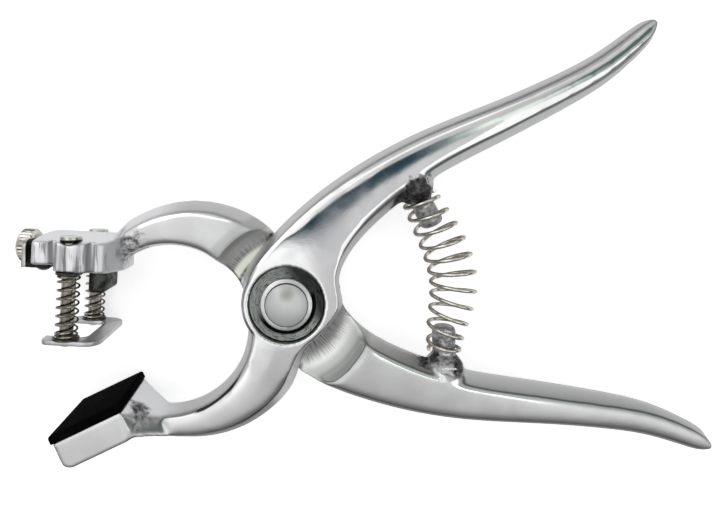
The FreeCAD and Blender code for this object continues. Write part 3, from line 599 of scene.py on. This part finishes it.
# The head lever is satin all along.
# centre, radius and fade of what is rough, with the darkest and lightest grey of its pits
HEAD_ROUGH_SPOTS = (
    ((-0.0472, 0.0168, 0.011), 0.0060, 0.0040, 0.07, 0.84),  # where the jaw meets the head block
    ((0.0478, -0.0190, 0.013), 0.0056, 0.0030, 0.50, 0.80),  # root of the spring's peg
    ((0.0488, -0.0135, 0.008), 0.0088, 0.0020, 0.26, 0.70),  # the peg
    ((0.0430, -0.0166, 0.011), 0.0056, 0.0015, 0.02, 0.16),  # corner on the peg's left
    ((0.0512, -0.0192, 0.012), 0.0050, 0.0015, 0.02, 0.16),  # corner on its right
)
head_metal, tree, place, colour, roughness, height, normal = lever_finish(
    "head_lever_metal", HEAD_ROUGH_SPOTS, inner=1.0, light=0.80, dark=0.72,
    satin=(0.200, 0.150), satin_roughness=0.43)
axes = axes_of(tree, place)
facing = own_facing(tree)
reach = flat_reach(tree, place)

# the lap's hollow ramps keep the cutter's marks, with painted shade by the gap and a painted greenish
# highlight on the jaw's ramp
RAMP_START = (0.0149, 0.0152)
JAW_RAMP_END = (0.0222, 0.0240)
HANDLE_RAMP_END = (0.0235, 0.0268)
RAMP_ABOVE = 0.0072
RAMP_GAP = (0.0164, 0.0222)
RAMP_CLEAN = (0.0190, 0.0220)
JAW_RAMP_SHINE = (0.0156, 0.0164, 0.0176, 0.0190)
RAMP_CREST = (0.0205, 0.0235, 0.0268, 0.0285)
RAMP_TONES = ((0.30, 0.31, 0.30, 1.0), (0.86, 0.86, 0.85, 1.0))
RAMP_CLEAN_TONE = (0.84, 0.85, 0.83, 1.0)
RAMP_GAP_SHADE_TONE = (0.03, 0.032, 0.03, 1.0)
JAW_SHINE_TONE = (0.72, 0.75, 0.66, 1.0)
RAMP_ROUGHNESS = 0.30
CREST_ROUGHNESS = 0.62
streaks =noise(tree, round_the_pivot(tree, place, 140.0, 110.0), 1.0, 4.0)
on_handle = reckon(tree, "GREATER_THAN", axes["X"], 0.0)
ramp_end = value_mix(tree, on_handle, ramped(tree, reach, *JAW_RAMP_END, 1.0, 0.0),
                     ramped(tree, reach, *HANDLE_RAMP_END, 1.0, 0.0))
ramp = product(tree, ramped(tree, reach, *RAMP_START), ramp_end,
               reckon(tree, "GREATER_THAN", axes["Z"], RAMP_ABOVE))
ramp_tone = colour_mix(tree, ramped(tree, streaks, 0.36, 0.60), *RAMP_TONES)
ramp_tone = colour_mix(tree, ramped(tree, reach, *RAMP_CLEAN), ramp_tone, RAMP_CLEAN_TONE)
# painted shade by the gap
ramp_gap_shade = product(tree, ramped(tree, reach, *RAMP_GAP, 1.0, 0.0),
                     ramped(tree, streaks, 0.34, 0.60, 1.0, 0.50))
ramp_tone = colour_mix(tree, ramp_gap_shade, ramp_tone, RAMP_GAP_SHADE_TONE)
# painted highlight on the jaw's ramp
jaw_shine = value_mix(tree, on_handle, band(tree, reach, *JAW_RAMP_SHINE), 0.0)
ramp_tone = colour_mix(tree, jaw_shine, ramp_tone, JAW_SHINE_TONE)
colour = colour_mix(tree, ramp, colour, ramp_tone)
roughness = value_mix(tree, ramp, roughness, RAMP_ROUGHNESS)
roughness = value_mix(tree, band(tree, reach, *RAMP_CREST), roughness, CREST_ROUGHNESS)

# painted highlight: a narrow bright line beside the far edges of jaw and handle
SHINE_OUTSIDE = (0.0285, 0.0310)
SHINE_ALONG = (-0.0450, -0.0430, 0.0640, 0.0880)
SHINE_UPWARD = (0.08, 0.16)
SHINE_LEVEL = (0.87, 0.91, 0.975, 0.99)
SHINE_TONE = (1.0, 1.0, 0.98, 1.0)
SHINE_ROUGHNESS = 0.14
edge_shine = product(tree, ramped(tree, facing["Y"], *SHINE_UPWARD), band(tree, facing["Z"], *SHINE_LEVEL),
                     ramped(tree, reach, *SHINE_OUTSIDE), band(tree, axes["X"], *SHINE_ALONG))
colour = colour_mix(tree, edge_shine, colour, SHINE_TONE)
roughness = value_mix(tree, edge_shine, roughness, SHINE_ROUGHNESS)

# the sides of the head block show upright grinding streaks, with painted shade in the valleys between its
# lobes
BLOCK_END = (-0.0502, -0.0484)
BLOCK_VALLEYS = ((-0.0674, 0.0007), (-0.0567, 0.0010))
BLOCK_TONE = (0.96, 0.96, 0.98, 1.0)
BLOCK_STREAK_AND_SHADE_TONE = (0.13, 0.13, 0.14, 1.0)
BLOCK_ROUGHNESS = 0.46
GRINDING_STRETCH = (900.0, 90.0, 300.0)
upright = ramped(tree, reckon(tree, "ABSOLUTE", facing["Y"]), 0.35, 0.65, 1.0, 0.0)
block = product(tree, ramped(tree, axes["X"], *BLOCK_END, 1.0, 0.0), upright)
grinding = noise(tree, stretched(tree, place, GRINDING_STRETCH), 1.0, 4.0)
streaks_and_valley_shade = ramped(tree, grinding, 0.50, 0.66, 0.0, 0.75)
# painted shade in the valleys between the lobes
for valley, width in BLOCK_VALLEYS:
    off = reckon(tree, "ABSOLUTE", reckon(tree, "SUBTRACT", axes["X"], valley))
    streaks_and_valley_shade = reckon(tree, "MAXIMUM", streaks_and_valley_shade, ramped(tree, off, width * 0.4, width * 1.6, 0.8, 0.0))
colour = colour_mix(tree, block, colour, BLOCK_TONE)
colour = colour_mix(tree, product(tree, block, streaks_and_valley_shade), colour, BLOCK_STREAK_AND_SHADE_TONE)
roughness = value_mix(tree, block, roughness, BLOCK_ROUGHNESS)
join_shader(tree, colour, roughness, bumped(tree, height, PIT_DEPTH, normal))

# what the wheel spared: x, y, radius and fade
HEAD_SPARED = (
    (0.0, 0.0, 0.0225, 0.005),  # boss and the lap's ramps
    (-0.0625, 0.012, 0.0185, 0.004),  # head block
    (0.0488, -0.015, 0.005, 0.003),  # the spring's peg
    (0.1290, -0.0443, 0.003, 0.010),  # end of the handle
)
head_lever = polished_copy("head_lever", HEAD_SPARED)

# the crown of the head block is ground flatter than it was cast
CROWN_START = -0.048
CROWN_LEVEL = 0.0184
CROWN_FADE_ALONG = 0.004
CROWN_FADE_UP = 0.0020
CROWN_HALF_DEPTH = 0.0115
CROWN_FLATTENING = 0.0010
for vertex in head_lever.data.vertices:
    x, y, z = vertex.co
    if x < CROWN_START and y > CROWN_LEVEL:
        share = min((y - CROWN_LEVEL) / CROWN_FADE_UP, 1.0) * min((CROWN_START - x) / CROWN_FADE_ALONG, 1.0)
        share *= max(0.0, 1.0 - ((z - MID_PLANE) / CROWN_HALF_DEPTH) ** 2)
        vertex.co.y -= CROWN_FLATTENING * share
blunted(head_lever, tip=Vector((0.1325, -0.0459, MID_PLANE)), back=Vector((-0.926, 0.377, 0.0)),
        length=0.010, pull=0.0019, swell=0.50)
finish_piece(head_lever, head_metal, "head_side", "head_lever")

# The pad is black rubber, cut from sheet and cemented to the anvil.
# Its cut edges are a little rounded and its skin is dull and finely pitted.
PAD_EDGE = 0.0003
RUBBER_PIT_DEPTH = 0.00006


def softened_copy(node, edge, crease=35.0):
    """A copy of a CAD node with a small rounded edge of that width."""
    piece = copied(node, node + "_finished")
    bpy.ops.object.mode_set(mode="EDIT")
    bpy.ops.mesh.select_all(action="SELECT")
    bpy.ops.mesh.dissolve_limited(angle_limit=math.radians(1.0))
    bpy.ops.object.mode_set(mode="OBJECT")
    rounding = piece.modifiers.new("rounding", "BEVEL")
    rounding.width = edge
    rounding.segments = 2
    rounding.limit_method = "ANGLE"
    rounding.angle_limit = math.radians(crease)
    rounding.use_clamp_overlap = True
    bpy.ops.object.modifier_apply(modifier="rounding")
    bpy.ops.object.shade_smooth_by_angle(angle=math.radians(crease))
    return piece


def dressed(node, edge, material, body, crease=35.0):
    """Puts a softened copy of a CAD node, in its material, in the node's place."""
    finish_piece(softened_copy(node, edge, crease), material, body, node)


black_rubber, tree = new_material("black_rubber")
tree.nodes["Principled BSDF"].inputs["Specular IOR Level"].default_value = 0.01
place = own_place(tree)
rubber_clouds = noise(tree, place, 260.0, 5.0)
rubber_tone = colour_mix(tree, ramped(tree, rubber_clouds, 0.35, 0.70), (0.0018, 0.0018, 0.002, 1.0),
                         (0.005, 0.005, 0.0055, 1.0))
join_shader(tree, rubber_tone, ramped(tree, rubber_clouds, 0.3, 0.7, 0.70, 0.90),
            bumped(tree, noise(tree, place, 2600.0, 2.0), RUBBER_PIT_DEPTH), metallic=0.0)
dressed("rubber_pad", PAD_EDGE, black_rubber, "anvil_side")

# The pivot is a steel bolt with a domed head on a turned washer, held by a notched nut behind.
# All four are bright plated steel; the dome has a painted greenish reflection and painted shade round its
# rim.
DOME_REFLECTION_SPOT = (0.0, 0.0040, 0.018)
DOME_REFLECTION_REACH = (0.0010, 0.0034)
DOME_RIM_SHADE = (0.00615, 0.00635)
WASHER_RING_PITCH = 0.00022
WASHER_RING_DEPTH = 0.000008
WASHER_EDGES = (("pivot_washer_front", 0.0003), ("pivot_washer_rear", 0.0002), ("pivot_nut", 0.0003))
BOLT_CREASE = 40.0


def plain_metal(name, light, dark, low, high, cloud=160.0, grain=1600.0, depth=0.000006, shade=None):
    """Metal with clouds of two tones and two roughnesses, with painted shade where it turns down if it has
    a shade.
    """
    material, tree = new_material(name)
    skin = put(tree, "ShaderNodeGroup", {
        "Place": own_place(tree), "Light": (*light, 1.0), "Dark": (*dark, 1.0), "Cloud Scale": cloud,
        "Rough Low": low, "Rough High": high, "Grain Scale": grain, "Grain Depth": depth},
        node_tree=metal_skin).outputs
    colour = skin["Color"]
    # painted shade on skin that faces down
    if shade:
        colour = colour_mix(tree, ramped(tree, own_facing(tree)["Z"], 0.05, 0.70), (*shade, 1.0), colour)
    join_shader(tree, colour, skin["Roughness"], skin["Normal"])
    return material


def painted_over(tree, mask, tone):
    """Covers a plain metal's colour with a tone where the mask is full."""
    base = tree.nodes["Principled BSDF"].inputs["Base Color"]
    tree.links.new(colour_mix(tree, mask, base.links[0].from_socket, tone), base)


bolt_metal = plain_metal("bolt_metal", (0.93, 0.93, 0.93), (0.87, 0.89, 0.87), 0.66, 0.76)
tree = bolt_metal.node_tree
place = own_place(tree)
# painted reflection: a soft greenish patch on the dome
dome_reflection = ramped(tree, measured(tree, "DISTANCE", place, DOME_REFLECTION_SPOT), *DOME_REFLECTION_REACH, 0.55, 0.0)
painted_over(tree, dome_reflection, (0.36, 0.42, 0.32, 1.0))
# painted shade: a dark ring round the dome's rim, where it meets the washer
painted_over(tree, ramped(tree, flat_reach(tree, place), *DOME_RIM_SHADE), grey(0.05))
pivot_bolt = copied("pivot_bolt", "pivot_bolt_finished")
bpy.ops.object.shade_smooth_by_angle(angle=math.radians(BOLT_CREASE))
finish_piece(pivot_bolt, bolt_metal, "anvil_side", "pivot_bolt")

washer_metal = plain_metal("washer_metal", (0.80, 0.80, 0.81), (0.68, 0.68, 0.69), 0.24, 0.36)
tree = washer_metal.node_tree
rings = put(tree, "ShaderNodeGroup", {"Place": own_place(tree), "Pitch": WASHER_RING_PITCH},
            node_tree=turned_rings).outputs["Rings"]
washer_normal = tree.nodes["Principled BSDF"].inputs["Normal"]
tree.links.new(bumped(tree, rings, WASHER_RING_DEPTH, washer_normal.links[0].from_socket), washer_normal)
for node, edge in WASHER_EDGES:
    dressed(node, edge, washer_metal, "anvil_side")

# The return spring is nickel-plated round wire, wound fat in the middle and bowed between the pegs.
# Its closed end turns grip the cast pegs.
SPRING_WIRE = 0.0012
SPRING_TURNS = 11.5
SPRING_RADII = (0.0053, 0.0046)
SPRING_SWELL = 0.0019
SPRING_BOW = 0.0064
SPRING_CLOSED = 0.75
TURN_POINTS = 20
CLOSED_PITCH = 1.12
ROUTE_STEPS = 60
ANVIL_PEG = Vector((0.04040, 0.03345, MID_PLANE))
ANVIL_PEG_TURN = math.radians(-63.5)
ANVIL_PEG_LENGTH = 0.0022
HEAD_PEG = Vector((0.04883, -0.01916, MID_PLANE))
HEAD_PEG_LENGTH = 0.0038


def wound_wire(name, route, radii, swell, turns, wire, closed, hand):
    """Round wire wound about a route, which is its length, and its place and way at a share of it."""
    length, place_at, way_at = route
    pitch = wire * CLOSED_PITCH
    up = Vector((0, 0, 1))
    spots = []
    for i in range(round(turns * TURN_POINTS) + 1):
        turn = i / TURN_POINTS
        along = closed * pitch + (length - 2 * closed * pitch) * (turn - closed) / (turns - 2 * closed)
        if turn < closed:
            along = turn * pitch
        elif turn > turns - closed:
            along = length - (turns - turn) * pitch
        share = min(max(along / length, 0.0), 1.0)
        across = up.cross(way_at(share)).normalized()
        reach = radii[0] + (radii[1] - radii[0]) * share + swell * math.sin(math.pi * share)
        angle = hand * 2 * math.pi * turn
        spots.append(place_at(share) + (across * math.cos(angle) + up * math.sin(angle)) * reach)
    bpy.ops.object.select_all(action="DESELECT")
    bpy.ops.curve.primitive_nurbs_path_add()
    piece = bpy.context.object
    piece.name = name
    piece.location = (0, 0, 0)
    piece.data.splines.clear()
    spline = piece.data.splines.new("NURBS")
    spline.points.add(len(spots) - 1)
    for point, spot in zip(spline.points, spots):
        point.co = (*spot, 1.0)
    spline.use_endpoint_u = True
    spline.order_u = 4
    piece.data.resolution_u = 2
    piece.data.bevel_depth = wire / 2
    piece.data.bevel_resolution = 2
    piece.data.use_fill_caps = True
    bpy.ops.object.convert(target="MESH")
    piece = bpy.context.object
    bpy.ops.object.shade_smooth_by_angle(angle=math.radians(50.0))
    return piece


def bowed_route(start, start_way, middle, end, end_way):
    """A smooth route through three places, with the way it leaves the first and reaches the last."""
    middle_way = (end - start).normalized()
    spots = []
    for near, near_way, far, far_way in ((start, start_way, middle, middle_way),
                                         (middle, middle_way, end, end_way)):
        pull = (far - near).length / 3
        for i in range(ROUTE_STEPS):
            t = i / ROUTE_STEPS
            spots.append(near * (1 - t) ** 3 + (near + near_way * pull) * 3 * t * (1 - t) ** 2
                         + (far - far_way * pull) * 3 * t * t * (1 - t) + far * t ** 3)
    spots.append(end)
    reaches = [0.0]
    for before, after in zip(spots, spots[1:]):
        reaches.append(reaches[-1] + (after - before).length)

    def place_at(share):
        goal = share * reaches[-1]
        i = 0
        while i < len(reaches) - 2 and reaches[i + 1] < goal:
            i += 1
        part = (goal - reaches[i]) / (reaches[i + 1] - reaches[i])
        return spots[i].lerp(spots[i + 1], part)

    def way_at(share):
        return (place_at(min(share + 0.01, 1.0)) - place_at(max(share - 0.01, 0.0))).normalized()

    return reaches[-1], place_at, way_at


# the wire's undersides carry painted shade
spring_nickel = plain_metal("spring_nickel", (0.88, 0.86, 0.80), (0.66, 0.61, 0.53), 0.12, 0.24,
                            cloud=420.0, shade=(0.17, 0.14, 0.105))
anvil_way = Vector((math.cos(ANVIL_PEG_TURN), math.sin(ANVIL_PEG_TURN), 0.0))
head_way = Vector((0.0, 1.0, 0.0))
anvil_seat = ANVIL_PEG + anvil_way * ANVIL_PEG_LENGTH
head_seat = HEAD_PEG + head_way * HEAD_PEG_LENGTH
bow = (anvil_seat + head_seat) / 2 + Vector((SPRING_BOW, 0.0, 0.0))
spring_route = bowed_route(anvil_seat, anvil_way, bow, head_seat, -head_way)
return_spring = wound_wire("return_spring_wire", spring_route, SPRING_RADII, SPRING_SWELL, SPRING_TURNS,
                           SPRING_WIRE, SPRING_CLOSED, hand=-1)
return_spring.data.materials.append(spring_nickel)
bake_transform(return_spring)
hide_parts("return_spring")

# The bracket is a bent steel strip across the front of the head, on two domed screws.
# It is plated, its cut edges are broken, and its back against the head carries painted shadow, near black.
BRACKET_EDGE = 0.0002
BRACKET_SCREW_EDGE = 0.00015
BRACKET_SHADOW_START = (-0.0757, -0.0754)
bracket_steel = plain_metal("bracket_steel", (0.66, 0.66, 0.64), (0.50, 0.50, 0.48), 0.26, 0.42)
tree = bracket_steel.node_tree
# painted shadow on the part towards the head
painted_over(tree, ramped(tree, axes_of(tree, own_place(tree))["X"], *BRACKET_SHADOW_START), grey(0.025))
dressed("end_bracket", BRACKET_EDGE, bracket_steel, "head_side")
dark_steel = plain_metal("dark_steel", (0.16, 0.15, 0.14), (0.06, 0.06, 0.055), 0.22, 0.40)
for side in ("near", "far"):
    dressed("bracket_screw_" + side, BRACKET_SCREW_EDGE, dark_steel, "head_side")

# The clamping screw carries a nickel-plated brass knob with straight knurling.
# It pushes the plain steel pressure plate against the tattoo dies.
KNURL_EDGE = 0.00008
PLATE_EDGE = 0.0002
knob_nickel = plain_metal("knob_nickel", (0.76, 0.74, 0.68), (0.55, 0.52, 0.45), 0.16, 0.30)
dressed("clamp_screw", KNURL_EDGE, knob_nickel, "screw", crease=20.0)
plate_steel = plain_metal("plate_steel", (0.66, 0.66, 0.64), (0.50, 0.50, 0.48), 0.26, 0.42)
dressed("pressure_plate", PLATE_EDGE, plate_steel, "plate")

# The stop block is a small casting at the back of the channel, painted near black as the shade it sits in.
# Its corners are soft and its skin is left as cast.
STOP_EDGE = 0.0007
# painted shade: the whole block is coloured near black
shade_dark_casting = plain_metal("shade_dark_casting", (0.085, 0.090, 0.082), (0.030, 0.032, 0.030), 0.34, 0.55,
                            cloud=520.0, grain=1400.0, depth=0.00008)
dressed("stop_block", STOP_EDGE, shade_dark_casting, "head_side")

# The ejector is a frame cut from plate, which hangs from two guide pins on small domed screws.
# The frame is dull plated steel. The pins are nickel-plated brass with slotted heads.
FRAME_EDGE = 0.00035
PIN_EDGE = 0.00035
SMALL_EDGE = 0.0001
PIN_HEAD_ABOVE = 0.0190
PIN_HEAD_SHADOW = (0.01995, 0.02010)
frame_steel = plain_metal("frame_steel", (0.72, 0.72, 0.73), (0.58, 0.58, 0.59), 0.28, 0.45)
dressed("ejector_frame", FRAME_EDGE, frame_steel, "ejector")
# the pins' undersides carry painted shade
pin_nickel = plain_metal("pin_nickel", (0.74, 0.69, 0.61), (0.58, 0.53, 0.45), 0.16, 0.30,
                         cloud=300.0, shade=(0.30, 0.26, 0.21))
tree = pin_nickel.node_tree
pin_up = axes_of(tree, own_place(tree))["Y"]
# painted shadow: the lowest sliver of each pin head is painted near black, above it the head's own grey
pin_head_and_shadow_tone = colour_mix(tree, ramped(tree, pin_up, *PIN_HEAD_SHADOW), grey(0.03), (0.66, 0.68, 0.63, 1.0))
painted_over(tree, reckon(tree, "GREATER_THAN", pin_up, PIN_HEAD_ABOVE), pin_head_and_shadow_tone)
for side in ("near", "far"):
    dressed("guide_pin_" + side, PIN_EDGE, pin_nickel, "ejector")
    dressed("pin_screw_" + side, SMALL_EDGE, pin_nickel, "ejector")
    dressed("washer_bottom_" + side, SMALL_EDGE, dark_steel, "ejector")
    dressed("washer_top_" + side, SMALL_EDGE, dark_steel, "head_side")

# Each guide pin carries a spring of fine dark wire between its two washers.
PIN_WIRE = 0.00062
PIN_SPRING_RADII = (0.0030, 0.0030)
PIN_SPRING_TURNS = 8.5
PIN_SPRING_CLOSED = 1.0
PIN_WASHER_HALF = 0.0003
PIN_SPRING_INSET = PIN_WASHER_HALF + PIN_WIRE * 0.6
EJECTOR_WAY = Vector((0.052336, 0.99863, 0.0))


def box_middle(node):
    """The middle of a CAD node's box."""
    low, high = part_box(node)
    return (Vector(low) + Vector(high)) / 2


def straight_route(start, end):
    """A straight route, as its length, and its place and way at a share of it."""
    return (end - start).length, lambda share: start.lerp(end, share), lambda share: EJECTOR_WAY


# the wire's undersides carry painted shade
pin_wire_steel = plain_metal("pin_wire_steel", (0.66, 0.62, 0.55), (0.20, 0.17, 0.14), 0.14, 0.30,
                             cloud=500.0, shade=(0.030, 0.026, 0.022))
for side in ("near", "far"):
    foot = box_middle("washer_bottom_" + side)
    crest = box_middle("washer_top_" + side)
    foot.z = box_middle("pin_spring_" + side).z
    crest.z = foot.z
    foot += EJECTOR_WAY * PIN_SPRING_INSET
    crest -= EJECTOR_WAY * PIN_SPRING_INSET
    pin_spring = wound_wire("pin_spring_wire_" + side, straight_route(foot, crest), PIN_SPRING_RADII, 0.0,
                            PIN_SPRING_TURNS, PIN_WIRE, PIN_SPRING_CLOSED, hand=1)
    finish_piece(pin_spring, pin_wire_steel, "head_side", "pin_spring_" + side)
    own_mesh(pin_spring)
